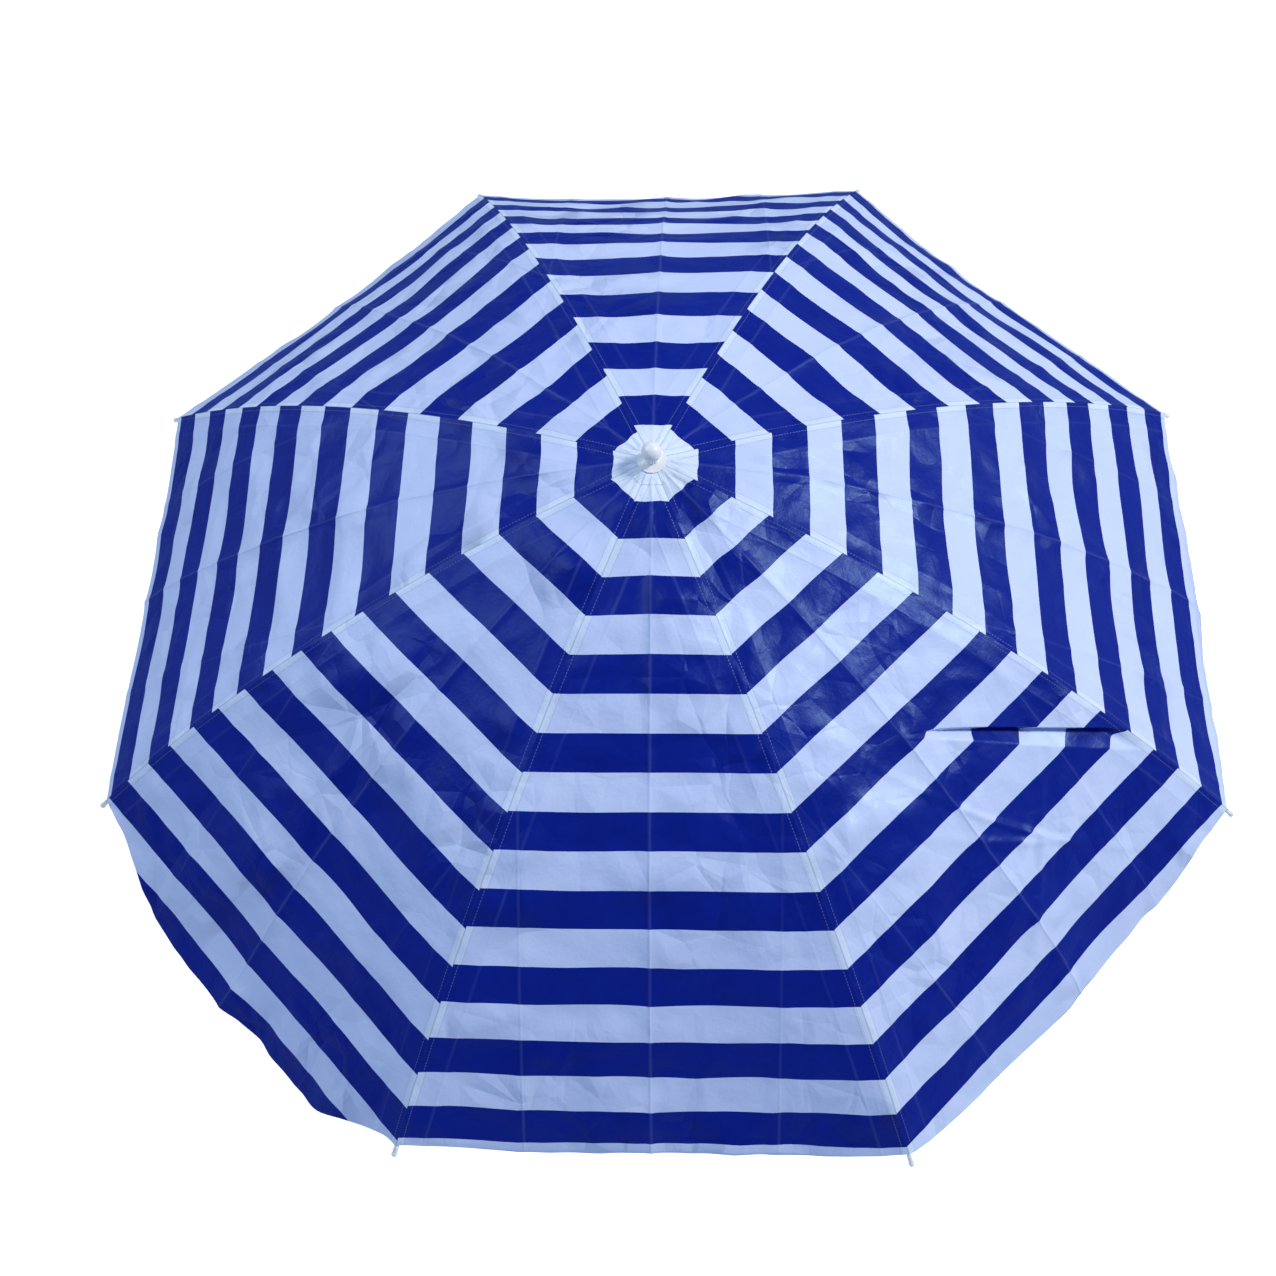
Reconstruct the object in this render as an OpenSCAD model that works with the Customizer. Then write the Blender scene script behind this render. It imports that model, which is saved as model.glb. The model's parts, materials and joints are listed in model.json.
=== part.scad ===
// Beach umbrella: an eight-rib push-up canopy on a two-piece pole with a tilt joint.
// Z is up. The origin is on the pole's axis at sand level, and the poles stand upright.
// Each rib is drawn in the XZ plane and turned to its place round the pole.

/* [Canopy] */
// Distance from the pole's axis to each corner of the open canopy
canopy_radius = 865; // [720:1:1040]
// How far the corners lie below the middle of the canopy
canopy_drop = 387; // [320:1:470]
// Slope of the fabric at the middle of the canopy, in degrees
crown_slope = 9; // [6:0.5:12]
// Thickness of the solid that stands for the fabric
canopy_t = 1.2; // [1:0.1:2]
// How far each panel sinks below a straight line between its two ribs at the hem
panel_sag = 22; // [5:1:40]
// How far the hem hangs below the line between two corners, at the middle of a panel
hem_drop = 44; // [20:1:70]
// Slope of the hanging hem, in degrees
hem_slope = 66; // [50:1:80]

/* [Ribs and stretchers] */
// Diameter of a rib's steel wire
rib_d = 4; // [3:0.1:5]
// Diameter of a stretcher's steel wire
stretcher_d = 3.6; // [3:0.1:4.5]
// Where the stretcher meets the rib, as a share of the rib's length
joint_share = 0.47; // [0.42:0.01:0.5]
// Angle that each rib swings from open to closed, in degrees
fold_angle = 61; // [50:1:63]
// Diameter of the wire that threads the ribs to the notch and the stretchers to the runner
hinge_wire_d = 2.2; // [1.8:0.1:2.7]
// Diameter of the cross pin in a rib clip
clip_pin_d = 3; // [2.4:0.1:3.4]
// Wall of a rib clip round its rib
clip_wall = 2; // [1.6:0.1:2.6]
// Length of a rib clip along its rib
clip_len = 16; // [12:1:20]
// Length of a rib tip cap
tip_len = 16; // [12:1:22]

/* [Pole] */
// Height of the canopy's middle above the sand
apex_height = 1750; // [1450:1:2150]
// Depth of the ground pole in the sand, without its spike
plunge_depth = 330; // [250:1:420]
// Length of the ground spike's cone
spike_len = 55; // [40:1:80]
// Outer diameter of the ground pole
ground_pole_d = 28; // [28:0.5:34]
// Wall of the ground pole
ground_pole_wall = 1.3; // [1:0.1:1.5]
// How much the ground pole's top is drawn in under the clamp collar
neck_step = 0.4; // [0.2:0.05:0.5]
// Length of the straight ring above the spike's point
spike_ring = 4; // [2:0.5:8]
// Outer diameter of the mast, both halves
mast_d = 22; // [18:0.5:23]
// Wall of the mast
mast_wall = 1.2; // [1:0.1:1.6]
// How far the canopy can be lowered from the drawn height
slide_down = 160; // [100:1:200]
// How far the canopy can be raised from the drawn height
slide_up = 140; // [80:1:180]
// Length of mast that stays inside the ground pole when it is fully raised
mast_grip = 40; // [30:1:80]

/* [Clamp] */
// Height of the clamp collar
collar_h = 60; // [50:1:80]
// Wall of the clamp collar
collar_wall = 4; // [3:0.1:6]
// Diameter of the clamp screw
screw_d = 6; // [5:0.5:8]
// Width of the clamp nut across its flats
nut_af = 10; // [10:0.5:13]
// Thickness of the clamp nut
nut_t = 5; // [4:0.5:6]
// Diameter of the clamp knob
knob_d = 32; // [26:1:40]
// Thickness of the clamp knob
knob_t = 12; // [9:0.5:16]

/* [Tilt joint] */
// Diameter of the tilt pin
tilt_pin_d = 6; // [5:0.5:7]
// Thickness of the tongue that turns in the fork
tongue_t = 12; // [10:0.5:14]
// Thickness of the fork's plain cheek
cheek_t = 7; // [5:0.5:9]
// Diameter of the tilt button
button_d = 14; // [12:0.5:16]
// How far the tilt button is pressed in
button_travel = 3; // [2:0.5:4]

/* [Runner and top] */
// Length of the runner below its hinge wire
runner_skirt = 58; // [45:1:80]
// Wall of the runner's sleeve
runner_wall = 3.5; // [3:0.1:5]
// Diameter of the ring by which the runner is pushed up
runner_ring_d = 46; // [42:1:54]
// How far the runner catch stands out of the mast
catch_out = 4.5; // [3.5:0.5:6]
// Diameter of the finial's body
finial_d = 27; // [22:0.5:32]
// Height of the finial above the fabric
finial_h = 34; // [26:1:44]
// Diameter of the finial's flange
flange_d = 38; // [34:0.5:44]
// Diameter of the reinforcing patch at the middle of the canopy
patch_d = 72; // [66:1:84]

/* [Clearances] */
// Gap all round a pin or wire in the hole where it turns
turn_gap = 0.05; // [0.03:0.01:0.1]
// Gap all round a piece that is pushed or glued into another
seat_gap = 0.05; // [0.02:0.01:0.1]
// Gap all round a tube or sleeve that slides on another
slide_gap = 0.3; // [0.2:0.05:0.5]
// Gap between loose neighbours, such as fabric and wire
skin_gap = 0.3; // [0.2:0.05:0.5]
// Gap between two ribs' shares of the canopy, where they meet at mid panel
share_gap = 0.1; // [0.05:0.01:0.2]

/* [Hidden] */
$fn = 48;

// Ribs are spaced evenly, and a panel's middle faces the front.
rib_count = 8;
half_panel = 180 / rib_count;
function azimuth(i) = half_panel + (i - 1) * 2 * half_panel;

// The canopy follows one arc above each rib, from the pole's axis to the corner.
chord_slope = atan(canopy_drop / canopy_radius);
rim_slope = 2 * chord_slope - crown_slope;
canopy_arc = norm([canopy_radius, canopy_drop]) / (2 * sin((rim_slope - crown_slope) / 2));
arc_x = -canopy_arc * sin(crown_slope);
arc_z = apex_height - canopy_arc * cos(crown_slope);
function on_arc(r, slope) = [arc_x + r * sin(slope), arc_z + r * cos(slope)];
function arc_slope(r, x) = asin((x - arc_x) / r);
arc_fn = 720;

// Radii round the pole
mast_r = mast_d / 2;
mast_bore_r = mast_r - mast_wall;
ground_r = ground_pole_d / 2;
ground_bore_r = ground_r - ground_pole_wall;
hinge_radius = mast_r + 6;
eye_r = hinge_wire_d / 2 + 2.1;
// The ring curves inside a straight hole, which is wider by what the ring bends in its length.
function ring_hole_r(thickness) = hinge_wire_d / 2 + turn_gap
    + hinge_radius - sqrt(pow(hinge_radius, 2) - pow(thickness / 2, 2));
hub_r = hinge_radius + eye_r + 2.3;
slot_r = hinge_radius - eye_r - skin_gap;

// The canopy's rows follow the arc in straight steps, between these slopes.
rows = 11;
canopy_inner = hub_r + 4;
inner_slope = arc_slope(canopy_arc, canopy_inner);
row_step = (rim_slope - inner_slope) / rows;

// The rib's arc lies under the canopy's steps. Its hinge is at the notch, and its joint at
// the stretcher.
rib_arc = canopy_arc * cos(row_step / 2) - canopy_t - skin_gap - rib_d / 2;
hinge_slope = arc_slope(rib_arc, hinge_radius);
hinge = on_arc(rib_arc, hinge_slope);
joint_slope = hinge_slope + joint_share * (rim_slope - hinge_slope);
clip_eye_r = clip_pin_d / 2 + 1.7;
joint_drop = rib_d / 2 + clip_wall + clip_eye_r + 0.5;
joint = on_arc(rib_arc - joint_drop, joint_slope);

// The stretcher is as long as the rib's hinge is from the joint, so the runner's hinges stay
// straight below the notch's while the canopy folds.
link_len = norm(joint - hinge);
link_slope = atan((hinge[1] - joint[1]) / (joint[0] - hinge[0]));
runner_z = hinge[1] - 2 * link_len * sin(link_slope);
runner_closed_z = hinge[1] - 2 * link_len * sin(link_slope + fold_angle);

// Notch, patch and finial, from the hinge upwards
notch_top = hinge[1] + eye_r + 0.9;
notch_bottom = hinge[1] - 9;
notch_skirt = 26;
patch_under = notch_top + skin_gap;
patch_top = patch_under + canopy_t;
stud_r = 4;
stud_top = patch_top + 16;
patch_r = patch_d / 2;
patch_rim = on_arc(canopy_arc, arc_slope(canopy_arc, patch_r))[1] + skin_gap;

// The tilt joint is below the runner's lowest place, and the poles follow from it.
socket_h = 32;
shoulder_h = 20;
tilt_z = runner_closed_z - runner_skirt - 12 - shoulder_h - socket_h;
knuckle_r = 12;
tongue_r = knuckle_r - 1;
socket_r = mast_r + 4.5;
fork_floor = tilt_z - shoulder_h;
fork_bottom = fork_floor - 28;
web_t = 4;
fork_gap = tongue_t / 2 + skin_gap;
cheek_out = fork_gap + cheek_t;
button_t = 6;
button_cheek_out = fork_gap + button_travel + button_t;
collar_top = fork_bottom - slide_down - 2;
collar_bottom = collar_top - collar_h;
collar_lip = 8;
ground_top = collar_top - collar_lip;
neck_r = ground_r - neck_step;
neck_bottom = collar_bottom - 2;
lower_bottom = collar_bottom - slide_up - mast_grip;
screw_z = collar_top - collar_h / 2;
boss_r = nut_af / 2 + 6;
boss_out = ground_r + collar_wall + 14;
nut_x = boss_out - nut_t - 4;
bush_h = 12;

// The catch holds the runner's lower end up.
runner_bottom = runner_z - runner_skirt;
catch_w = 5;
catch_h = 10;
catch_leaf_t = 1;
catch_leaf_len = 60;
catch_top = runner_bottom - skin_gap;
catch_leaf_y = mast_bore_r - 1.6;

// A tube standing on the pole's axis
module tube(r, bore_r, from, to) {
    difference() {
        translate([0, 0, from]) cylinder(r = r, h = to - from);
        translate([0, 0, from - 1]) cylinder(r = bore_r, h = to - from + 2);
    }
}

// A round bar along Y, centred on a point in the XZ plane
module cross_bar(point, r, length) {
    translate([point[0], 0, point[1]])
        rotate([90, 0, 0]) cylinder(r = r, h = length, center = true);
}

// A wire that follows the canopy's arc in the XZ plane
module arc_wire(radius, from_slope, to_slope, d) {
    translate([arc_x, 0, arc_z])
        rotate([90, 0, 0])
        rotate([0, 0, 90 - to_slope])
        rotate_extrude(angle = to_slope - from_slope, $fn = arc_fn)
        translate([radius, 0]) circle(d = d, $fn = 32);
}

// The closed ring of wire that runs through every hinge at one height
module hinge_ring(z, r) {
    translate([0, 0, z])
        rotate_extrude()
        translate([hinge_radius, 0]) circle(r = r, $fn = 24);
}

// The slots in which rib or stretcher ends swing, open outwards
module hinge_slots(from, to, width) {
    for (i = [1 : rib_count])
        rotate([0, 0, azimuth(i)])
            translate([slot_r, -width / 2, from]) cube([hub_r, width, to - from]);
}

module ground_pole() {
    color("whitesmoke")
    difference() {
        union() {
            tube(ground_r, ground_bore_r, -plunge_depth, neck_bottom);
            tube(neck_r, ground_bore_r, neck_bottom - 1, ground_top);
        }
        translate([0, 0, screw_z])
            rotate([0, 90, 0]) cylinder(d = screw_d + 2, h = ground_pole_d);
    }
}

module ground_spike() {
    plug_r = ground_bore_r - seat_gap;
    plug_h = 30;
    color("royalblue")
    translate([0, 0, -plunge_depth])
    rotate_extrude()
        polygon([[0, -spike_len], [2, -spike_len], [ground_r, -spike_ring], [ground_r, -seat_gap],
            [plug_r, -seat_gap], [plug_r, plug_h - 2], [plug_r - 2, plug_h], [0, plug_h]]);
}

module clamp_collar() {
    bore_r = neck_r + seat_gap;
    outer_r = ground_r + collar_wall;
    color("royalblue")
    difference() {
        union() {
            translate([0, 0, collar_bottom]) cylinder(r = outer_r, h = collar_h);
            translate([0, 0, screw_z]) rotate([0, 90, 0]) cylinder(r = boss_r, h = boss_out);
        }
        translate([0, 0, collar_bottom - 1])
            cylinder(r = bore_r, h = collar_h - collar_lip + 1 + seat_gap);
        translate([0, 0, collar_bottom]) cylinder(r = mast_r + slide_gap, h = collar_h + 1);
        translate([0, 0, screw_z])
            rotate([0, 90, 0]) cylinder(d = screw_d + 0.6, h = boss_out + 1);
        translate([nut_x - seat_gap, -nut_af / 2 - seat_gap, screw_z])
            cube([nut_t + 2 * seat_gap, nut_af + 2 * seat_gap, boss_r + 1]);
        translate([nut_x - seat_gap, 0, screw_z])
            rotate([0, 90, 0])
            cylinder(d = (nut_af + 2 * seat_gap) / cos(30), h = nut_t + 2 * seat_gap, $fn = 6);
    }
}

module clamp_nut() {
    color("silver")
    translate([nut_x, 0, screw_z])
        rotate([0, 90, 0])
        difference() {
            cylinder(d = nut_af / cos(30), h = nut_t, $fn = 6);
            translate([0, 0, -1]) cylinder(r = screw_d / 2 + turn_gap, h = nut_t + 2);
        }
}

module clamp_knob() {
    tip_x = mast_r + skin_gap;
    knob_x = boss_out + 2;
    lobes = 6;
    color("royalblue")
    translate([0, 0, screw_z])
        rotate([0, 90, 0])
        union() {
            translate([0, 0, tip_x]) cylinder(d = screw_d, h = knob_x - tip_x + 1);
            translate([0, 0, knob_x])
                linear_extrude(height = knob_t)
                difference() {
                    circle(d = knob_d);
                    for (k = [0 : lobes - 1])
                        rotate(k * 360 / lobes + 180 / lobes)
                            translate([knob_d / 2 + 3, 0]) circle(d = knob_d / 3);
                }
        }
}

module lower_mast() {
    color("whitesmoke") tube(mast_r, mast_bore_r, lower_bottom, fork_floor - web_t);
}

module slide_bush() {
    rim_r = ground_bore_r - turn_gap * 2;
    plug_r = mast_bore_r - seat_gap;
    color("royalblue")
    translate([0, 0, lower_bottom])
    rotate_extrude()
        polygon([[plug_r - 3, -bush_h], [rim_r - 1, -bush_h], [rim_r, -bush_h + 1],
            [rim_r, -seat_gap], [plug_r, -seat_gap], [plug_r, 18], [plug_r - 3, 18]]);
}

module tilt_fork() {
    color("royalblue")
    difference() {
        union() {
            translate([0, 0, fork_bottom])
                cylinder(r = socket_r, h = fork_floor - fork_bottom);
            translate([-knuckle_r, fork_gap, fork_floor - web_t])
                cube([2 * knuckle_r, cheek_t, tilt_z - fork_floor + web_t]);
            translate([0, cheek_out, tilt_z])
                rotate([90, 0, 0]) cylinder(r = knuckle_r, h = cheek_t);
            translate([-knuckle_r, -button_cheek_out, fork_floor - web_t])
                cube([2 * knuckle_r, button_cheek_out - fork_gap, tilt_z - fork_floor + web_t]);
            translate([0, -fork_gap, tilt_z])
                rotate([90, 0, 0]) cylinder(r = knuckle_r, h = button_cheek_out - fork_gap);
        }
        translate([0, 0, fork_bottom - 1])
            cylinder(r = mast_r + seat_gap, h = fork_floor - web_t - fork_bottom + 1 + seat_gap);
        cross_bar([0, tilt_z], tilt_pin_d / 2 + turn_gap, 60);
        translate([0, -fork_gap - 1.5, tilt_z])
            rotate([90, 0, 0]) cylinder(r = button_d / 2 + slide_gap, h = 30);
    }
}

module tilt_pin() {
    color("silver")
    union() {
        translate([0, cheek_out + 2, tilt_z])
            rotate([90, 0, 0]) cylinder(d = tilt_pin_d, h = cheek_out + 2 + fork_gap + 1);
        translate([0, cheek_out + 2.5, tilt_z])
            rotate([90, 0, 0]) cylinder(d1 = tilt_pin_d, d2 = tilt_pin_d + 4, h = 2.5 - seat_gap);
    }
}

module tilt_button() {
    inner_y = fork_gap + 1.5 + button_travel + skin_gap;
    color("white")
    translate([0, -inner_y, tilt_z])
        rotate([90, 0, 0])
        union() {
            cylinder(d = button_d, h = button_t);
            translate([0, 0, button_t]) cylinder(d1 = button_d, d2 = button_d - 2, h = 1);
        }
}

module tilt_tongue() {
    color("royalblue")
    difference() {
        union() {
            cross_bar([0, tilt_z], tongue_r, tongue_t);
            translate([-tongue_r, -tongue_t / 2, tilt_z])
                cube([2 * tongue_r, tongue_t, shoulder_h + 1]);
            translate([0, 0, tilt_z + shoulder_h]) cylinder(r = socket_r, h = socket_h);
        }
        cross_bar([0, tilt_z], tilt_pin_d / 2 + turn_gap, tongue_t + 2);
        translate([0, 0, tilt_z + shoulder_h + web_t - seat_gap])
            cylinder(r = mast_r + seat_gap, h = socket_h);
    }
}

module upper_mast() {
    color("whitesmoke")
    difference() {
        tube(mast_r, mast_bore_r, tilt_z + shoulder_h + web_t, notch_bottom);
        translate([-catch_w / 2 - slide_gap, -mast_d, catch_top - catch_h - slide_gap])
            cube([catch_w + 2 * slide_gap, mast_d, catch_h + 2 * slide_gap]);
    }
}

module top_notch() {
    color("whitesmoke")
    difference() {
        union() {
            translate([0, 0, notch_bottom]) cylinder(r = hub_r, h = notch_top - notch_bottom);
            translate([0, 0, notch_bottom - notch_skirt])
                cylinder(r = mast_bore_r - seat_gap, h = notch_skirt + 1);
            translate([0, 0, notch_top - 1]) cylinder(r = stud_r, h = stud_top - notch_top + 1);
        }
        hinge_slots(notch_bottom - 1, notch_top + 1, rib_d + 2 * skin_gap);
        hinge_ring(hinge[1], hinge_wire_d / 2 + seat_gap);
    }
}

module notch_wire() {
    color("silver") hinge_ring(hinge[1], hinge_wire_d / 2);
}

module crown_patch() {
    flat_r = hub_r - 1;
    color("white")
    rotate_extrude()
        polygon([[stud_r + 1, patch_under], [flat_r, patch_under], [patch_r, patch_rim],
            [patch_r, patch_rim + canopy_t / 2], [flat_r, patch_top], [stud_r + 1, patch_top]]);
}

module finial() {
    base = patch_top + seat_gap;
    ball_r = finial_d / 2;
    flange_edge = 1.5;
    flange_t = 4;
    stem_r = stud_r + 5;
    ball_z = base + finial_h - ball_r;
    color("white")
    difference() {
        union() {
            translate([0, 0, base]) cylinder(d = flange_d, h = flange_edge);
            translate([0, 0, base + flange_edge])
                cylinder(d1 = flange_d, r2 = stem_r, h = flange_t - flange_edge);
            translate([0, 0, base]) cylinder(r = stem_r, h = ball_z - base);
            translate([0, 0, ball_z]) sphere(r = ball_r);
        }
        translate([0, 0, base - 1]) cylinder(r = stud_r + seat_gap, h = stud_top - base + 1.5);
    }
}

module runner_catch() {
    nib_y = mast_r + catch_out;
    color("silver")
    union() {
        translate([catch_w / 2, 0, catch_top - catch_h])
            rotate([90, 0, -90])
            linear_extrude(height = catch_w)
            polygon([[catch_leaf_y, 0], [mast_r, 0], [nib_y, catch_h * 0.7],
                [nib_y, catch_h], [catch_leaf_y, catch_h]]);
        translate([-catch_w / 2, -catch_leaf_y - catch_leaf_t, catch_top - catch_leaf_len])
            cube([catch_w, catch_leaf_t, catch_leaf_len]);
    }
}

module runner() {
    sleeve_r = mast_r + slide_gap + runner_wall;
    head_top = runner_z + eye_r + 0.9;
    head_bottom = runner_z - eye_r - 3;
    ring_h = 7;
    color("whitesmoke")
    difference() {
        union() {
            translate([0, 0, head_bottom]) cylinder(r = hub_r, h = head_top - head_bottom);
            translate([0, 0, runner_bottom]) cylinder(r = sleeve_r, h = runner_skirt);
            translate([0, 0, runner_bottom + 4]) cylinder(d = runner_ring_d, h = ring_h);
        }
        translate([0, 0, runner_bottom - 1])
            cylinder(r = mast_r + slide_gap, h = head_top - runner_bottom + 2);
        hinge_slots(runner_z - eye_r - skin_gap, head_top + 1, stretcher_d + 2 * skin_gap);
        hinge_ring(runner_z, hinge_wire_d / 2 + seat_gap);
    }
}

module runner_wire() {
    color("silver") hinge_ring(runner_z, hinge_wire_d / 2);
}

module rib(i) {
    wire_end = rim_slope + (tip_len * 0.75) / rib_arc * 180 / PI;
    color("whitesmoke")
    rotate([0, 0, azimuth(i)])
    difference() {
        union() {
            arc_wire(rib_arc, hinge_slope, wire_end, rib_d);
            cross_bar(hinge, eye_r, rib_d);
        }
        cross_bar(hinge, ring_hole_r(rib_d), rib_d + 2);
    }
}

// A clip under the rib: a saddle, two ears and the cross pin that the stretcher turns on
module rib_clip(i) {
    seat = on_arc(rib_arc, joint_slope);
    ear_gap = stretcher_d / 2 + skin_gap;
    ear_out = ear_gap + clip_wall;
    color("whitesmoke")
    rotate([0, 0, azimuth(i)])
    translate([seat[0], 0, seat[1]])
    rotate([0, joint_slope, 0])
    difference() {
        union() {
            rotate([0, 90, 0]) cylinder(r = rib_d / 2 + clip_wall, h = clip_len, center = true);
            for (side = [-1, 1]) {
                translate([-clip_eye_r, side * (ear_gap + clip_wall / 2) - clip_wall / 2, -joint_drop])
                    cube([2 * clip_eye_r, clip_wall, joint_drop]);
                translate([0, side * (ear_gap + clip_wall / 2), 0])
                    cross_bar([0, -joint_drop], clip_eye_r, clip_wall);
            }
            cross_bar([0, -joint_drop], clip_pin_d / 2, 2 * ear_out + 2);
        }
        rotate([0, 90, 0]) cylinder(r = rib_d / 2 + 2 * seat_gap, h = clip_len + 2, center = true);
        translate([-clip_len, -clip_len, rib_d * 0.1]) cube(2 * clip_len);
    }
}

module rib_tip(i) {
    gap_slope = (tip_len * 0.3) / rib_arc * 180 / PI;
    start = on_arc(rib_arc, rim_slope + gap_slope);
    cap_r = rib_d / 2 + 1.3;
    ball_r = cap_r + 0.7;
    color("white")
    rotate([0, 0, azimuth(i)])
    translate([start[0], 0, start[1]])
    rotate([0, 90 + rim_slope + gap_slope, 0])
    difference() {
        union() {
            cylinder(r = cap_r, h = tip_len - ball_r);
            translate([0, 0, tip_len - ball_r]) sphere(r = ball_r);
        }
        translate([0, 0, -1]) cylinder(r = rib_d / 2 + 2 * seat_gap, h = tip_len * 0.45 + 1.5);
    }
}

module stretcher(i) {
    low = [hinge_radius, runner_z];
    color("whitesmoke")
    rotate([0, 0, azimuth(i)])
    difference() {
        union() {
            translate([low[0], 0, low[1]])
                rotate([0, 90 - link_slope, 0]) cylinder(d = stretcher_d, h = link_len);
            cross_bar(joint, clip_eye_r, stretcher_d);
            cross_bar(low, eye_r, stretcher_d);
        }
        cross_bar(joint, clip_pin_d / 2 + turn_gap, stretcher_d + 2);
        cross_bar(low, ring_hole_r(stretcher_d), stretcher_d + 2);
    }
}

// One rib's share of the canopy, from mid panel to mid panel. Rows follow the rib from the
// crown to the corner, then one row hangs as the hem. Columns run across, the rib's in the
// middle. share is 1 on the rib and 0 at mid panel.
half_columns = 4;
columns = 2 * half_columns;

function row_slope(row) = inner_slope + row_step * min(row, rows);
function hem_out(row, share) = row > rows ? 3 + hem_drop * (1 - share * share) : 0;
function panel_point(row, share, depth) =
    let (slope = row_slope(row),
        rib_point = on_arc(canopy_arc, slope),
        along = min(row / rows, 1),
        sag = panel_sag * (1 - share * share) * along * (2 - along),
        lie = row > rows ? hem_slope : slope,
        out = hem_out(row, share) * cos(hem_slope) - depth * sin(lie),
        down = sag + hem_out(row, share) * sin(hem_slope) + depth * cos(lie))
    [rib_point[0] * cos(half_panel) + out,
        max(share * rib_point[0] * sin(half_panel), share_gap / 2), rib_point[1] - down];
function turned(p, a) = [p[0] * cos(a) - p[1] * sin(a), p[0] * sin(a) + p[1] * cos(a), p[2]];
function sheet_point(row, column, depth) =
    let (across = column / half_columns - 1,
        side = across < 0 ? -1 : 1,
        p = panel_point(row, 1 - abs(across), depth))
    turned([p[0], -side * p[1], p[2]], side * half_panel);

module canopy(i) {
    per_row = columns + 1;
    sheet = (rows + 2) * per_row;
    points = [for (depth = [0, canopy_t]) for (row = [0 : rows + 1])
        for (column = [0 : columns]) sheet_point(row, column, depth)];
    function at(side, row, column) = side * sheet + row * per_row + column;
    top = [for (row = [0 : rows]) for (c = [0 : columns - 1])
        each [[at(0, row, c), at(0, row, c + 1), at(0, row + 1, c)],
            [at(0, row, c + 1), at(0, row + 1, c + 1), at(0, row + 1, c)]]];
    under = [for (row = [0 : rows]) for (c = [0 : columns - 1])
        each [[at(1, row, c), at(1, row + 1, c), at(1, row, c + 1)],
            [at(1, row, c + 1), at(1, row + 1, c), at(1, row + 1, c + 1)]]];
    ends = [for (c = [0 : columns - 1])
        each [[at(0, 0, c), at(1, 0, c), at(0, 0, c + 1)],
            [at(1, 0, c), at(1, 0, c + 1), at(0, 0, c + 1)],
            [at(0, rows + 1, c), at(0, rows + 1, c + 1), at(1, rows + 1, c)],
            [at(1, rows + 1, c), at(0, rows + 1, c + 1), at(1, rows + 1, c + 1)]]];
    sides = [for (row = [0 : rows])
        each [[at(0, row, 0), at(0, row + 1, 0), at(1, row, 0)],
            [at(1, row, 0), at(0, row + 1, 0), at(1, row + 1, 0)],
            [at(0, row, columns), at(1, row, columns), at(0, row + 1, columns)],
            [at(1, row, columns), at(1, row + 1, columns), at(0, row + 1, columns)]]];
    color(i % 2 == 0 ? "royalblue" : "mediumblue")
    rotate([0, 0, azimuth(i)])
    polyhedron(points = points, faces = concat(top, under, ends, sides));
}

ground_pole();
ground_spike();
clamp_collar();
clamp_nut();
clamp_knob();
lower_mast();
slide_bush();
tilt_fork();
tilt_pin();
tilt_button();
tilt_tongue();
upper_mast();
top_notch();
notch_wire();
crown_patch();
finial();
runner_catch();
runner();
runner_wire();
for (i = [1 : rib_count]) {
    rib(i);
    rib_clip(i);
    rib_tip(i);
    stretcher(i);
    canopy(i);
}
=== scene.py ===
"""The looks of the beach umbrella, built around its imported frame.

Metres, +Z up. The camera stands at the front, which is -Y. A panel is a gore between two ribs:
t runs down its middle line from the apex, u runs across it from -1 to 1, and the ribs are at
u = -1 and 1. A canopy sheet is what rides on one rib, from mid panel to mid panel.
"""

import json
import math

import bpy
import numpy as np
from mathutils import Matrix, Vector


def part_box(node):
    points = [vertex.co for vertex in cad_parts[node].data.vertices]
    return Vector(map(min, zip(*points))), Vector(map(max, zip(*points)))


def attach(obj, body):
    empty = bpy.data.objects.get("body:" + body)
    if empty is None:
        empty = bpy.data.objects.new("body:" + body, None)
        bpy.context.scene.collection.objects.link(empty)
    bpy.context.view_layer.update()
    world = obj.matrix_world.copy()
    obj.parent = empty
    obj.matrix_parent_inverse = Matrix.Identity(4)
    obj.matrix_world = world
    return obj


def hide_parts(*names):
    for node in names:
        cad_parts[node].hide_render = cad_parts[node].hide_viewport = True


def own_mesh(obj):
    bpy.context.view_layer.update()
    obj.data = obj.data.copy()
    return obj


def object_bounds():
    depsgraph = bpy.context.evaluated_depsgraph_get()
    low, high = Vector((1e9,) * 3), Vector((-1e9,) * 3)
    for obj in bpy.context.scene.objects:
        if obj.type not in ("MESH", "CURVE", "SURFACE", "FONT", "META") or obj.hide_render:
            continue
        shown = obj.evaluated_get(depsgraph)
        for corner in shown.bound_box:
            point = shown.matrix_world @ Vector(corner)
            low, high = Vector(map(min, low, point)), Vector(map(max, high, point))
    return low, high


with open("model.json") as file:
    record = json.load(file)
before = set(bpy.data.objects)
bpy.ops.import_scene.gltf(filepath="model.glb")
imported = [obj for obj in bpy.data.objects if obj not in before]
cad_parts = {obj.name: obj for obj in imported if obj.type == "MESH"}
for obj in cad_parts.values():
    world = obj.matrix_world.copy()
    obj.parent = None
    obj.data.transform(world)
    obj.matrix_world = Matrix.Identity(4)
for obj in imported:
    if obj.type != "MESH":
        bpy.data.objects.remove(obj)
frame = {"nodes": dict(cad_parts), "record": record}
cad_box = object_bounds()

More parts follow.
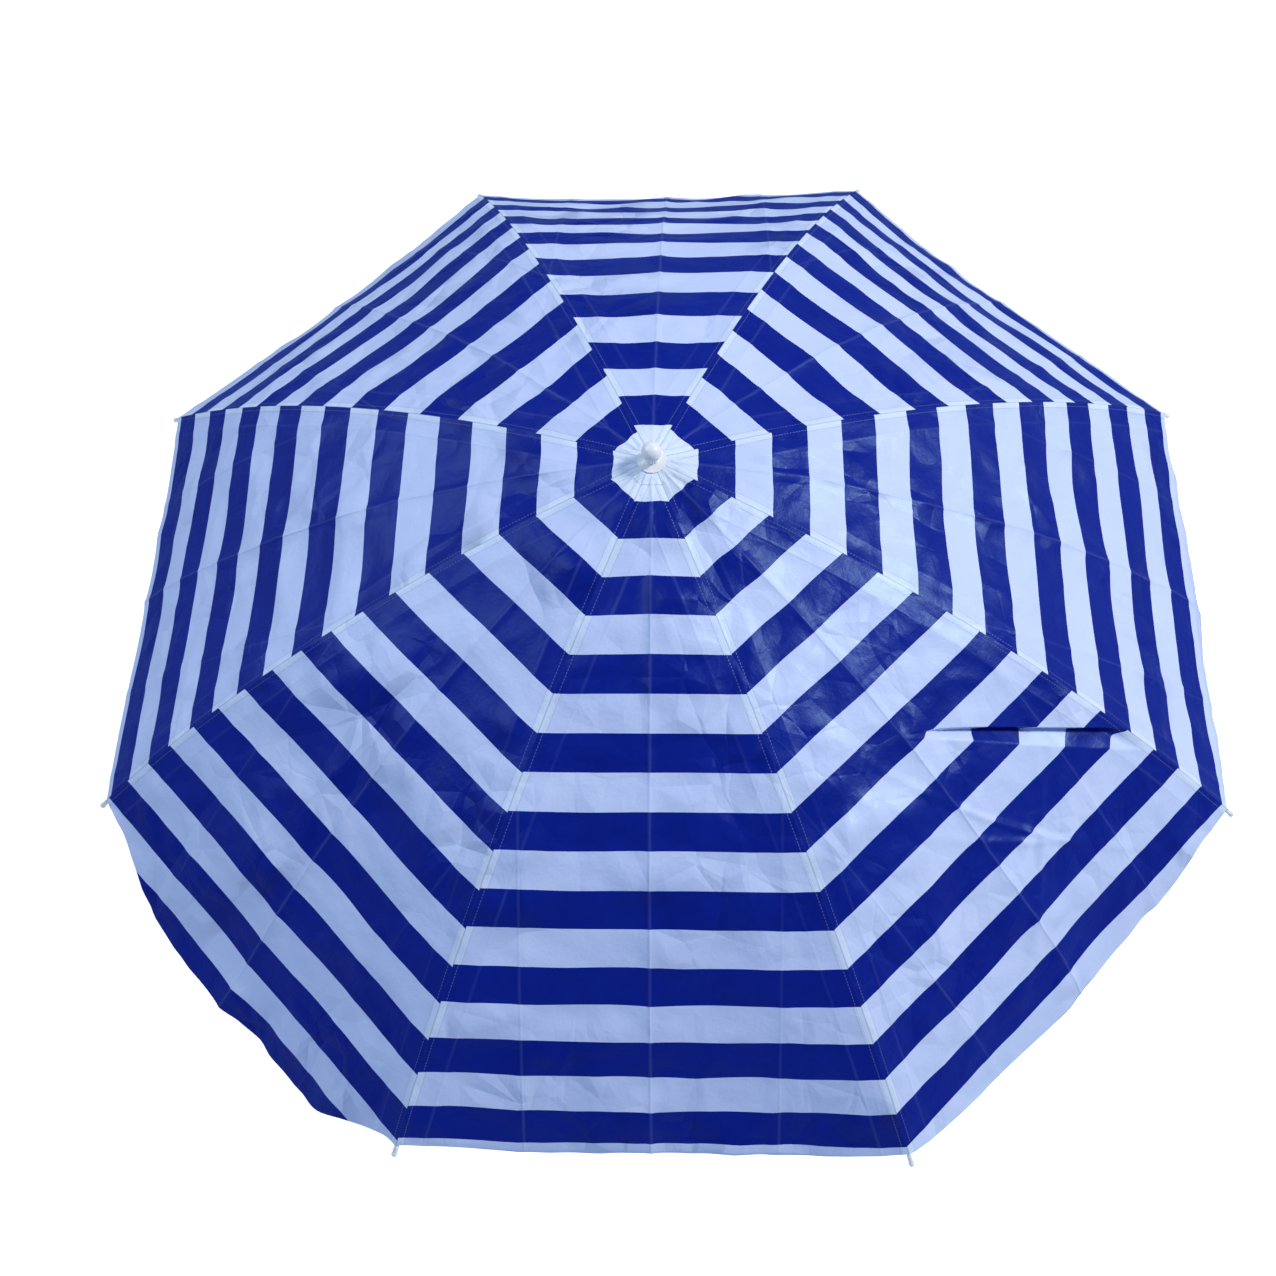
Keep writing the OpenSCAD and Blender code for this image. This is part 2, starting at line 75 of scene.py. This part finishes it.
# ---------------------------------------------------------------- sizes
RIBS = 8
HALF = math.pi / RIBS
APEX_Z = 1.750
CORNER_R = 0.865
CORNER_DROP = 0.387
CROWN_SLOPE = math.radians(9)
RIM_SLOPE = 2 * math.atan2(CORNER_DROP, CORNER_R) - CROWN_SLOPE
ARC = math.hypot(CORNER_R, CORNER_DROP) / (2 * math.sin((RIM_SLOPE - CROWN_SLOPE) / 2))
ARC_X = -ARC * math.sin(CROWN_SLOPE)
ARC_Z = APEX_Z - ARC * math.cos(CROWN_SLOPE)
INNER_R = 0.0265          # where the canopy starts, round the notch
FILM = 0.0007             # thickness drawn for the film
STRIPE = 0.05
HEM_EDGE = 0.003          # length of hem left at a corner
LAP = 0.009               # width of the seams' lap
BESIDE_SEAM = 0.032       # from a seam to the crease along it
PACK_FOLD = 0.165         # between the folds left by packing
PRINT_T = 0.05            # where the print starts to be pulled out

# One entry for each panel, anticlockwise from the right: where its first blue stripe starts,
# how far the print is pulled out at its rim and half way, how long its hem is at mid panel,
# the hem's slope in degrees, and how much its edge waves.
PANELS = [
    dict(start=0.0600, pull=-0.004, swell=0.003, hem=0.044, slope=62, wave=0.0020),
    dict(start=0.0550, pull=0.000, swell=0.034, hem=0.044, slope=66, wave=0.0020),
    dict(start=0.0610, pull=0.085, swell=0.040, hem=0.044, slope=66, wave=0.0020),
    dict(start=0.0500, pull=0.072, swell=0.038, hem=0.038, slope=66, wave=0.0020),
    dict(start=0.0520, pull=0.003, swell=0.018, hem=0.036, slope=96, wave=0.0015),
    dict(start=0.0540, pull=0.006, swell=-0.003, hem=0.082, slope=42, wave=0.0055),
    dict(start=0.0560, pull=-0.001, swell=-0.004, hem=0.034, slope=104, wave=0.0025),
    dict(start=0.0545, pull=0.000, swell=-0.004, hem=0.039, slope=56, wave=0.0025),
]
TUCKED_PANEL = 7          # the front right one, which has a pinched fold
TUCK_T = 0.475            # where that fold starts, at mid panel
LOOSE_PANEL = 5           # the front left one, whose hem hangs out


# ---------------------------------------------------------------- the panel's surface
def middle_line(samples=800):
    """Distance along a panel's middle line, and the line's distance from the pole."""
    share = np.linspace(0, 1, samples)
    slope = np.radians(9.85 + 34.7 * share + 1.5 * share ** 2 - 0.6 * share ** 3)
    step = np.cos(slope)
    out = np.concatenate([[0], np.cumsum((step[1:] + step[:-1]) / 2)]) / (samples - 1)
    length = CORNER_R * math.cos(HALF) / out[-1]
    return share * length, out * length, slope


LINE_T, LINE_R, LINE_SLOPE = middle_line()
LENGTH = LINE_T[-1]


def arc_height(r):
    return ARC_Z + np.sqrt(ARC ** 2 - (r - ARC_X) ** 2)


def smooth(x):
    x = np.clip(x, 0, 1)
    return x * x * (3 - 2 * x)


def bell(x, width):
    return np.exp(-(x / width) ** 2)


def value_noise(x, y, seed):
    """Smooth noise from -1 to 1, with one value on each unit of a grid."""
    table = np.random.RandomState(seed).uniform(-1, 1, (64, 64))
    xi, yi = np.floor(x).astype(int), np.floor(y).astype(int)
    fx, fy = smooth(x - xi), smooth(y - yi)
    a = table[xi % 64, yi % 64] * (1 - fx) + table[(xi + 1) % 64, yi % 64] * fx
    b = table[xi % 64, (yi + 1) % 64] * (1 - fx) + table[(xi + 1) % 64, (yi + 1) % 64] * fx
    return a * (1 - fy) + b * fy


def ridged(x, y, seed):
    """Noise whose highest places are sharp lines, like creases in film."""
    return 1 - 2 * np.abs(value_noise(x, y, seed))


def tuck_edge(u):
    """Where the pinched fold's upper edge crosses the panel."""
    return TUCK_T + 0.10 * u + 0.12 * u * u


def tuck(t, u):
    """How deep in the pinched fold a place is, from 0 to 1: a sharp step, then a ramp."""
    past = t - tuck_edge(u)
    width = 0.008 + 0.052 * np.clip(u, 0, 1)
    across = smooth((u - 0.02) / 0.35) * smooth((1 - u) / 0.08)
    return smooth(past / 0.005) * np.clip(1 - past / width, 0, 1) * across


def wrinkles(p, t, u, side):
    """How far the film stands out from its smooth shape. side is metres from mid panel."""
    inside = 1 - np.abs(u) ** 6
    seam = (1 - np.abs(u)) * np.interp(t, LINE_T, LINE_R) * math.sin(HALF)
    near = smooth(t / 0.25)
    w = 0.0034 * value_noise(t / 0.21 + 3 * p, side / 0.16 + 7, 11 + p) * near
    w += 0.0024 * ridged(t / 0.10 + p, side / 0.12 + t / 0.2, 31 + p) * near
    w += 0.0010 * ridged(t / 0.045, side / 0.06 - t / 0.11, 51 + p) * near
    w *= inside
    w += 0.0016 * bell(side, 0.006) * near + 0.0012 * bell(side, 0.03) * near
    for place in (-PACK_FOLD, PACK_FOLD):
        drift = place + 0.008 * value_noise(t / 0.3, 0 * t + p, 71)
        w += 0.0011 * bell(side - drift, 0.009) * smooth((seam - 0.01) / 0.03)
    w += 0.0010 * bell(seam - BESIDE_SEAM, 0.009) * near
    if p == TUCKED_PANEL:
        w -= 0.0130 * tuck(t, u)
        for place, lean in ((0.66, 0.25), (0.80, -0.30), (0.60, 0.42), (0.74, -0.16)):
            w += 0.0026 * bell(t - place - lean * u, 0.009) * bell(u - 0.12, 0.38)
    return w


def pleats(p, t, u):
    """The gathers round the crown, which fade out over the first stripe."""
    size = 0.0015 * smooth((t - 0.022) / 0.014) * np.exp(-np.clip(t - 0.03, 0, 1) / 0.022)
    wave = 0.5 + 0.5 * np.cos(3 * math.pi * u + 0 * t)
    odd = 0.7 * value_noise(2.7 * u + 5, t / 0.05 + p, 91 + p) * (1 - u * u)
    return size * (wave + odd)


def surface(p, t, u, hem):
    """Points of panel p. t and u are grids; hem, a column, is each row's share of the hem."""
    panel = PANELS[p]
    r = np.interp(t, LINE_T, LINE_R)
    along = t / LENGTH
    sag = (0.019 * along - 0.0073 * np.sin(math.pi * along)) * (1 - u * u)
    side = u * r * math.tan(HALF)
    slope = np.interp(t, LINE_T, LINE_SLOPE)
    lift = wrinkles(p, t, u, side) + pleats(p, t, u)
    z = arc_height(r / math.cos(HALF)) - sag + lift * np.cos(slope)
    r = r + lift * np.sin(slope)

    full = 1 - u * u
    if p == LOOSE_PANEL:
        full = smooth((1 + u) / 0.6) * smooth((1 - u) / 0.45)
    reach = HEM_EDGE + (panel["hem"] - HEM_EDGE) * full
    steps = np.linspace(0, 1, 60)
    end = math.radians(panel["slope"])
    turn = LINE_SLOPE[-1] + (end - LINE_SLOPE[-1]) * smooth(steps / 0.35)
    out = np.concatenate([[0], np.cumsum(np.cos(turn[:-1]))]) / 60
    down = np.concatenate([[0], np.cumsum(np.sin(turn[:-1]))]) / 60
    r = r + reach * np.interp(hem, steps, out)
    z = z - reach * np.interp(hem, steps, down)
    wave = 0.9 * value_noise(side / 0.035, 0 * side + p, 101 + p)
    wave += 1.3 * value_noise(side / 0.11, 0 * side + p, 111 + p)
    wave *= panel["wave"] * hem * (1 - u ** 4)
    r = r + wave
    z = z + 0.5 * wave

    a = 2 * HALF * p
    x = r * math.cos(a) - side * math.sin(a)
    y = r * math.sin(a) + side * math.cos(a)
    return np.stack([x, y, z], -1), side, reach


def stripe_shift(p, t, u):
    """How far the print is pulled in along the panel."""
    shift = 0.0016 * value_noise(t / 0.17 + p, 2 * u, 121 + p) * (1 - u ** 4)
    out = np.clip((t - PRINT_T) / (LENGTH - PRINT_T), 0, 1)
    shift = shift - PANELS[p]["pull"] * out
    shift = shift - PANELS[p]["swell"] * np.sin(math.pi * out ** 1.25) ** 2
    if p == TUCKED_PANEL:
        shift = shift + 0.012 * tuck(t, u)
    return shift


# ---------------------------------------------------------------- meshes
def make_object(name, points, faces, maps=None, materials=(), slots=None, sharp=40):
    """A smooth mesh object. maps gives each UV map's value at every face corner."""
    mesh = bpy.data.meshes.new(name)
    mesh.from_pydata(np.asarray(points).tolist(), [], np.asarray(faces).tolist())
    for key, values in (maps or {}).items():
        layer = mesh.uv_layers.new(name=key)
        layer.data.foreach_set("uv", np.asarray(values, np.float32).ravel())
    for material in materials:
        mesh.materials.append(material)
    if slots is not None:
        mesh.polygons.foreach_set("material_index", np.asarray(slots, np.int32))
    mesh.polygons.foreach_set("use_smooth", np.ones(len(mesh.polygons), bool))
    mesh.set_sharp_from_angle(angle=math.radians(sharp))
    mesh.update()
    obj = bpy.data.objects.new(name, mesh)
    bpy.context.scene.collection.objects.link(obj)
    return obj


def grid_normals(points):
    down = np.gradient(points, axis=0)
    over = np.gradient(points, axis=1)
    n = np.cross(down, over)
    return n / np.maximum(np.linalg.norm(n, axis=-1, keepdims=True), 1e-12)


def film_shell(name, points, corner_maps, thickness, materials, closed=False):
    """A grid of points with a thickness below it. Rows run outwards, columns anticlockwise."""
    rows, cols = points.shape[:2]
    under = points - grid_normals(points) * thickness
    index = np.arange(rows * cols).reshape(rows, cols)
    lower = index + rows * cols
    i, j = np.meshgrid(np.arange(rows - 1), np.arange(cols - 1), indexing="ij")
    i, j = i.ravel(), j.ravel()
    order = [(i, j), (i + 1, j), (i + 1, j + 1), (i, j + 1)]
    top = np.stack([index[a] for a in order], -1)
    bottom = np.stack([lower[a] for a in order], -1)[:, ::-1]
    maps = {k: [v, v[:, ::-1]] for k, v in corner_maps.items()}
    faces = [top, bottom]
    cells = np.arange(len(i)).reshape(rows - 1, cols - 1)
    rims = [(cells[0], 0, 3), (cells[-1], 2, 1), (cells[:, 0], 1, 0), (cells[:, -1], 3, 2)]
    if closed:
        rims = rims[:2]
    for cell, a, b in rims:
        cell = cell.ravel()
        quad = [top[cell, a], top[cell, b],
                top[cell, b] + rows * cols, top[cell, a] + rows * cols]
        faces.append(np.stack(quad, -1)[:, ::-1])
        for key, value in corner_maps.items():
            edge = [value[cell, a], value[cell, b], value[cell, b], value[cell, a]]
            maps[key].append(np.stack(edge, 1)[:, ::-1])
    faces = np.concatenate(faces)
    slots = np.zeros(len(faces))
    slots[len(top):2 * len(top)] = 1
    maps = {k: np.concatenate(v) for k, v in maps.items()}
    both = np.concatenate([points.reshape(-1, 3), under.reshape(-1, 3)])
    return make_object(name, both, faces, maps, materials, slots)


def corner_values(grid):
    """A grid's value at the corners of each of its cells, in film_shell's order."""
    g = grid
    stack = [g[:-1, :-1], g[1:, :-1], g[1:, 1:], g[:-1, 1:]]
    return np.stack(stack, 2).reshape(-1, 4, g.shape[-1])


def film_maps(p, t, u, side, reach, hem):
    """The three maps that the film's material reads, for one panel's part of a grid."""
    along = t + reach * hem
    stripe = (along + stripe_shift(p, t, u) - PANELS[p]["start"]) / (2 * STRIPE)
    seam = (1 - np.abs(u)) * np.interp(t, LINE_T, LINE_R) * math.sin(HALF)
    return {"Stripe": corner_values(np.stack([side, stripe], -1)),
            "Cloth": corner_values(np.stack([side + 3 * p, along], -1)),
            "Seam": corner_values(np.stack([seam, along], -1))}


ROWS = 120
HEM_ROWS = 9
COLUMNS = 40


def canopy_sheet(k, materials):
    """The canopy round rib k, one continuous sheet from mid panel to mid panel."""
    finer = 2 if k - 1 == TUCKED_PANEL else 1
    columns = COLUMNS * finer
    first = np.interp(INNER_R * math.cos(HALF), LINE_R, LINE_T)
    body = np.linspace(first, LENGTH, (ROWS - 1) * finer + 1)
    if finer > 1:
        dense = np.cumsum(1 + 5 * bell(body - TUCK_T - 0.003, 0.012))
        body = np.interp(np.linspace(dense[0], dense[-1], len(body)), dense, body)
    rows = np.concatenate([body, np.full(HEM_ROWS, LENGTH)])
    hem = np.concatenate([0 * body, np.linspace(0, 1, HEM_ROWS + 1)[1:]])
    halves, maps, area = [], [], 0
    for p, u in ((k - 1, np.linspace(0, 1, columns + 1)),
                 (k % RIBS, np.linspace(-1, 0, columns + 1))):
        t, uu = np.meshgrid(rows, u, indexing="ij")
        h = np.repeat(hem[:, None], len(u), 1)
        if finer > 1:
            # The rows bend along the fold, and back to straight beyond the rib.
            bend = tuck_edge(uu) if p == TUCKED_PANEL else tuck_edge(smooth(-2 * uu - 1))
            reach_in = (t - first) / (TUCK_T - first)
            reach_out = (LENGTH - t) / (LENGTH - TUCK_T)
            t = t + (bend - TUCK_T) * np.clip(np.minimum(reach_in, reach_out), 0, 1)
        points, side, reach = surface(p, t, uu, h)
        halves.append(points)
        maps.append(film_maps(p, t, uu, side, reach, h))
        width = np.interp(body, LINE_T, LINE_R) * math.tan(HALF)
        area += np.mean(width) * (LENGTH - first) + np.mean(reach[-1]) * width[-1]
    points = np.concatenate([halves[0], halves[1][:, 1:]], 1)
    joined = {}
    for key in maps[0]:
        a, b = (m[key].reshape(len(rows) - 1, columns, 4, 2) for m in maps)
        joined[key] = np.concatenate([a, b], 1).reshape(-1, 4, 2)
    obj = film_shell(f"canopy_sheet_{k}", points, joined, FILM, materials)
    longest = max(PANELS[k - 1]["hem"], PANELS[k % RIBS]["hem"])
    flat = (2 * LINE_R[-1] * math.tan(HALF), LENGTH - first + longest)
    return obj, flat, float(area)


# ---------------------------------------------------------------- materials
class Net:
    """A short way to write a node material."""

    def __init__(self, name):
        self.material = bpy.data.materials.new(name)
        self.material.use_nodes = True
        self.tree = self.material.node_tree
        self.shader = self.tree.nodes["Principled BSDF"]

    def node(self, kind, inputs=None, **settings):
        n = self.tree.nodes.new(kind)
        for key, value in settings.items():
            setattr(n, key, value)
        for key, value in (inputs or {}).items():
            self.put(n.inputs[key], value)
        return n

    def put(self, socket, value):
        if isinstance(value, bpy.types.NodeSocket):
            self.tree.links.new(value, socket)
        else:
            socket.default_value = value

    def math(self, operation, a, b=0.0, c=0.0, clamp=False):
        n = self.node("ShaderNodeMath", {0: a, 1: b, 2: c}, operation=operation)
        n.use_clamp = clamp
        return n.outputs[0]

    def map(self, name):
        uv = self.node("ShaderNodeUVMap", uv_map=name).outputs[0]
        xyz = self.node("ShaderNodeSeparateXYZ", {0: uv})
        return uv, xyz.outputs[0], xyz.outputs[1]

    def noise(self, where, scale, detail=3.0, rough=0.5):
        n = self.node("ShaderNodeTexNoise", {"Vector": where, "Scale": scale,
                                             "Detail": detail, "Roughness": rough})
        return n.outputs[0]

    def mix(self, share, a, b):
        n = self.node("ShaderNodeMix", data_type="RGBA")
        self.put(n.inputs["Factor"], share)
        self.put(n.inputs["A"], a)
        self.put(n.inputs["B"], b)
        return n.outputs["Result"]

    def spread(self, value, low, high):
        """value from 0 to 1 becomes low to high."""
        return self.math("MULTIPLY_ADD", value, high - low, low)

    def bump(self, height, strength=1.0):
        n = self.node("ShaderNodeBump", {"Height": height, "Strength": strength,
                                         "Distance": 1.0})
        self.put(self.shader.inputs["Normal"], n.outputs[0])

    def line(self, value, place, width):
        """1 where value is at place, falling to 0 at width from it."""
        off = self.math("ABSOLUTE", self.math("SUBTRACT", value, place))
        return self.math("SUBTRACT", 1.0, self.math("DIVIDE", off, width), clamp=True)


def rgb(r, g, b):
    return (r, g, b, 1.0)


def film_material(name, white, white_dull, blue, blue_dull, gloss):
    """Striped coated film: print, crumple, packing folds, seam lap and stitches, with the
    creases and the seam lap painted lighter as highlights.
    """
    net = Net(name)
    cloth, _, along = net.map("Cloth")
    _, side, stripe = net.map("Stripe")
    _, seam, _ = net.map("Seam")
    cloudy = net.noise(cloth, 7.0, 4.0, 0.6)
    fine = net.noise(cloth, 60.0, 3.0, 0.6)

    in_blue = net.math("LESS_THAN", net.math("FRACT", stripe), 0.5)
    in_blue = net.math("MULTIPLY", in_blue, net.math("GREATER_THAN", stripe, 0.0))
    mottle = net.math("MULTIPLY_ADD", fine, 0.35, net.math("MULTIPLY_ADD", cloudy, 1.5, -0.42),
                      clamp=True)
    pale = net.mix(mottle, white, white_dull)
    crown = net.math("DIVIDE", net.math("SUBTRACT", 0.10, along), 0.05, clamp=True)
    pale = net.mix(net.math("MULTIPLY", crown, 0.7), pale, rgb(0.74, 0.83, 0.93))
    lap_and_highlight = net.math("LESS_THAN", seam, LAP)
    # Painted highlight: the seam lap is painted lighter on the white, standing in for light
    # catching the seam's ridge.
    pale = net.mix(net.math("MULTIPLY", lap_and_highlight, 0.5), pale, rgb(0.72, 0.84, 0.93))
    color = net.mix(in_blue, pale, net.mix(mottle, blue, blue_dull))

    warp = net.node("ShaderNodeTexNoise", {"Vector": cloth, "Scale": 9.0}).outputs["Color"]
    bent = net.node("ShaderNodeVectorMath", {0: warp, 1: (0.05, 0.05, 0.0), 2: cloth},
                    operation="MULTIPLY_ADD").outputs[0]
    bent = net.node("ShaderNodeVectorMath", {0: bent, 1: (1.0, 0.4, 1.0)},
                    operation="MULTIPLY").outputs[0]
    crumple = net.node("ShaderNodeTexVoronoi", {"Vector": bent, "Scale": 13.0},
                       feature="DISTANCE_TO_EDGE").outputs[0]
    crumple = net.math("SUBTRACT", 1.0, net.math("DIVIDE", crumple, 0.04), clamp=True)
    patchy = net.spread(net.noise(cloth, 5.0, 2.0), -1.4, 2.0)
    crumple = net.math("MULTIPLY", crumple, net.math("MAXIMUM", patchy, 0.0))
    fold_and_highlight = net.math("PINGPONG", side, PACK_FOLD / 2)
    fold_and_highlight = net.math("SUBTRACT", 1.0, net.math("DIVIDE", fold_and_highlight, 0.0028), clamp=True)
    worn = net.spread(net.noise(cloth, 4.0, 2.0), -0.8, 1.9)
    middle = net.line(side, 0.0, 0.003)
    fold_and_highlight = net.math("MAXIMUM", middle, net.math("MULTIPLY", fold_and_highlight, worn, clamp=True))
    beside = net.math("MULTIPLY", net.line(seam, BESIDE_SEAM, 0.003), worn, clamp=True)
    fold_and_highlight = net.math("MAXIMUM", fold_and_highlight, net.math("MULTIPLY", beside, 0.8))
    # Painted highlight: the creases are painted lighter and bluer, standing in for light
    # catching their ridges.
    color = net.mix(net.math("MULTIPLY", fold_and_highlight, 0.06), color, rgb(0.42, 0.56, 1.0))

    join = net.line(seam, 0.0, 0.0012)
    color = net.mix(net.math("MULTIPLY", join, 0.40), color, rgb(0.02, 0.03, 0.12))
    dash = net.math("LESS_THAN", net.math("FRACT", net.math("DIVIDE", along, 0.0042)), 0.62)
    thread = net.math("MULTIPLY", net.line(seam, 0.0062, 0.0007), dash)
    color = net.mix(net.math("MULTIPLY", thread, 0.22), color, rgb(0.62, 0.68, 0.82))
    edge = net.line(seam, LAP, 0.0011)
    color = net.mix(net.math("MULTIPLY", edge, 0.18), color, rgb(0.02, 0.03, 0.12))
    net.put(net.shader.inputs["Base Color"], color)

    height = net.math("MULTIPLY", crumple, 0.00035)
    # Facets of crumpled film, large and small: each scale with how steep its sides are.
    for scale, slope, where in ((6.0, 0.32, bent), (15.0, 0.22, cloth)):
        facet = net.node("ShaderNodeTexVoronoi", {"Vector": where, "Scale": scale},
                         feature="DISTANCE_TO_EDGE").outputs[0]
        steep = net.math("MULTIPLY", patchy, slope / scale, clamp=True)
        facet = net.math("MULTIPLY", facet, steep)
        height = net.math("ADD", facet, height)
    height = net.math("MULTIPLY_ADD", net.noise(cloth, 24.0, 5.0, 0.62), 0.0019, height)
    height = net.math("MULTIPLY_ADD", net.noise(cloth, 260.0, 2.0), 0.00006, height)
    height = net.math("MULTIPLY_ADD", fold_and_highlight, 0.00055, height)
    height = net.math("MULTIPLY_ADD", lap_and_highlight, 0.00045, height)
    height = net.math("MULTIPLY_ADD", thread, 0.0003, height)
    net.bump(height)
    rough = net.spread(fine, gloss, gloss + 0.16)
    net.put(net.shader.inputs["Roughness"], rough)
    net.shader.inputs["Specular IOR Level"].default_value = 0.32
    net.shader.inputs["Specular Tint"].default_value = rgb(0.40, 0.68, 1.0)
    return net.material


def solid_material(name, base, dull, rough, metallic=0.0, coat=0.0, grain=900.0, depth=0.00002):
    """Paint, plating or moulded plastic, with faint mottling, scuffs and a fine grain."""
    net = Net(name)
    where = net.node("ShaderNodeTexCoord").outputs["Object"]
    cloudy = net.spread(net.noise(where, 22.0, 4.0, 0.6), -0.5, 1.2)
    scuff = net.spread(net.noise(where, 140.0, 6.0, 0.75), -1.6, 2.0)
    color = net.mix(net.math("MULTIPLY", cloudy, 0.6, clamp=True), base, dull)
    color = net.mix(net.math("MULTIPLY", scuff, 0.25, clamp=True), color, dull)
    net.put(net.shader.inputs["Base Color"], color)
    shine = net.math("MULTIPLY_ADD", net.math("MAXIMUM", scuff, 0.0), 0.18,
                     net.spread(cloudy, rough, rough + 0.06))
    net.put(net.shader.inputs["Roughness"], shine)
    net.shader.inputs["Metallic"].default_value = metallic
    net.shader.inputs["Coat Weight"].default_value = coat
    net.shader.inputs["Coat Roughness"].default_value = 0.12
    height = net.math("MULTIPLY", net.noise(where, grain, 3.0), depth)
    net.bump(height)
    return net.material


film = film_material("film_top", rgb(0.59, 0.68, 0.91), rgb(0.51, 0.61, 0.87),
                     rgb(0.001, 0.006, 0.20), rgb(0.003, 0.014, 0.26), 0.32)
film_under = film_material("film_under", rgb(0.54, 0.62, 0.80), rgb(0.48, 0.56, 0.76),
                           rgb(0.010, 0.025, 0.22), rgb(0.015, 0.035, 0.27), 0.42)
FINISH = {
    "painted_steel": solid_material("painted_steel", rgb(0.80, 0.81, 0.82),
                                    rgb(0.66, 0.67, 0.69), 0.30, grain=500.0, depth=0.00006),
    "plated_steel": solid_material("plated_steel", rgb(0.72, 0.73, 0.75),
                                   rgb(0.52, 0.53, 0.56), 0.20, metallic=1.0),
    "white_plastic": solid_material("white_plastic", rgb(0.86, 0.87, 0.87),
                                    rgb(0.80, 0.81, 0.80), 0.16, coat=0.3),
    "blue_plastic": solid_material("blue_plastic", rgb(0.012, 0.045, 0.33),
                                   rgb(0.03, 0.075, 0.40), 0.30, grain=1400.0,
                                   depth=0.00003),
}
FINISH["patch_film"] = film
FINISH["canopy_film"] = film

for part in frame["record"]["subparts"]:
    node = frame["nodes"][part["node"]]
    node.data.materials.clear()
    node.data.materials.append(FINISH[part["material_slot"]])

# ---------------------------------------------------------------- canopy
for k in range(1, RIBS + 1):
    sheet, flat, area = canopy_sheet(k, [film, film_under])
    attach(sheet, f"rib_{k}")
    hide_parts(f"canopy_{k}")
    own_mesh(sheet)


def crown_gather():
    """The reinforcing patch, gathered into the canopy's pleats under the finial."""
    flat_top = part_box("crown_patch")[1][2]
    radii = np.linspace(0.009, 0.0362, 16)
    parts, maps = [], []
    for p in range(RIBS):
        u = np.linspace(-1, 1, 49)
        r, uu = np.meshgrid(radii * math.cos(HALF), u, indexing="ij")
        t = np.interp(r, LINE_R, LINE_T)
        points, side, reach = surface(p, t, uu, 0 * t)
        far = np.hypot(points[..., 0], points[..., 1])
        top = flat_top - 0.0002 - 0.10 * np.clip(far - 0.019, 0, 1)
        share = smooth((far - 0.020) / 0.014)
        points[..., 2] = top * (1 - share) + (points[..., 2] + 0.0005) * share
        parts.append(points[:, :-1])
        maps.append(film_maps(p, t, uu, side, reach, 0 * t))
    points = np.concatenate(parts + [parts[0][:, :1]], 1)
    joined = {}
    for key in maps[0]:
        pieces = [m[key].reshape(len(radii) - 1, 48, 4, 2) for m in maps]
        joined[key] = np.concatenate(pieces, 1).reshape(-1, 4, 2)
    return film_shell("crown_gather", points, joined, 0.0005, [film, film_under], closed=True)


gather = crown_gather()
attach(gather, "upper_mast")
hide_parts("crown_patch")

# ---------------------------------------------------------------- floor, light and camera
floor_net = Net("floor")
where = floor_net.node("ShaderNodeTexCoord").outputs["Object"]
tone = floor_net.mix(floor_net.noise(where, 0.6, 2.0), rgb(0.86, 0.87, 0.88),
                     rgb(0.90, 0.90, 0.90))
floor_net.put(floor_net.shader.inputs["Base Color"], tone)
floor_net.shader.inputs["Roughness"].default_value = 0.9
floor_net.shader.inputs["Emission Color"].default_value = rgb(1, 1, 1)
floor_net.shader.inputs["Emission Strength"].default_value = 0.75
FLOOR = 40.0              # from the middle of the floor to its sides
ground = cad_box[0][2] - 0.001
corners = [(FLOOR * i, FLOOR * j, ground) for i, j in ((-1, -1), (1, -1), (1, 1), (-1, 1))]
floor = make_object("floor", corners, [(0, 1, 2, 3)], materials=[floor_net.material])
floor.visible_glossy = False

world = bpy.data.worlds.new("studio")
bpy.context.scene.world = world
world.use_nodes = True
world.node_tree.nodes["Background"].inputs["Color"].default_value = rgb(0.28, 0.52, 1.0)
world.node_tree.nodes["Background"].inputs["Strength"].default_value = 0.37
bpy.context.scene.view_settings.view_transform = "Standard"


def area_light(name, azimuth, elevation, distance, size, power, color):
    """A square light that looks at the canopy's middle."""
    light = bpy.data.lights.new(name, "AREA")
    light.size = size
    light.energy = power
    light.color = color
    obj = bpy.data.objects.new(name, light)
    a, e = math.radians(azimuth), math.radians(elevation)
    way = Vector((math.cos(a) * math.cos(e), math.sin(a) * math.cos(e), math.sin(e)))
    obj.location = Vector((0, 0, 1.6)) + distance * way
    obj.rotation_euler = way.to_track_quat("Z", "Y").to_euler()
    bpy.context.scene.collection.objects.link(obj)


area_light("key", 14, 44, 6.0, 1.2, 300, (1.0, 0.95, 0.88))
area_light("fill", 160, 42, 6.0, 4.0, 150, (0.92, 0.95, 1.0))

camera = bpy.data.objects.new("camera", bpy.data.cameras.new("camera"))
bpy.context.scene.collection.objects.link(camera)
bpy.context.scene.camera = camera
camera.data.sensor_width = 36
camera.data.lens = 41.12
camera.data.clip_end = 200
CAMERA_DISTANCE = 1.8868
AIM = Vector((-0.0228, -0.1579, -0.2))      # from the apex to where the camera looks
turn, rise, roll = math.radians(3.93), math.radians(57.55), math.radians(-5.44)
apex = Vector((0, 0, APEX_Z))
back = Vector((math.sin(turn) * math.cos(rise), -math.cos(turn) * math.cos(rise),
               math.sin(rise)))
eye = apex + CAMERA_DISTANCE * back
ahead = (apex + AIM - eye).normalized()
right = ahead.cross(Vector((0, 0, 1))).normalized()
up = right.cross(ahead)
right, up = (right * math.cos(roll) + up * math.sin(roll),
             up * math.cos(roll) - right * math.sin(roll))
camera.matrix_world = Matrix.Translation(eye) @ Matrix((right, up, -ahead)).transposed().to_4x4()
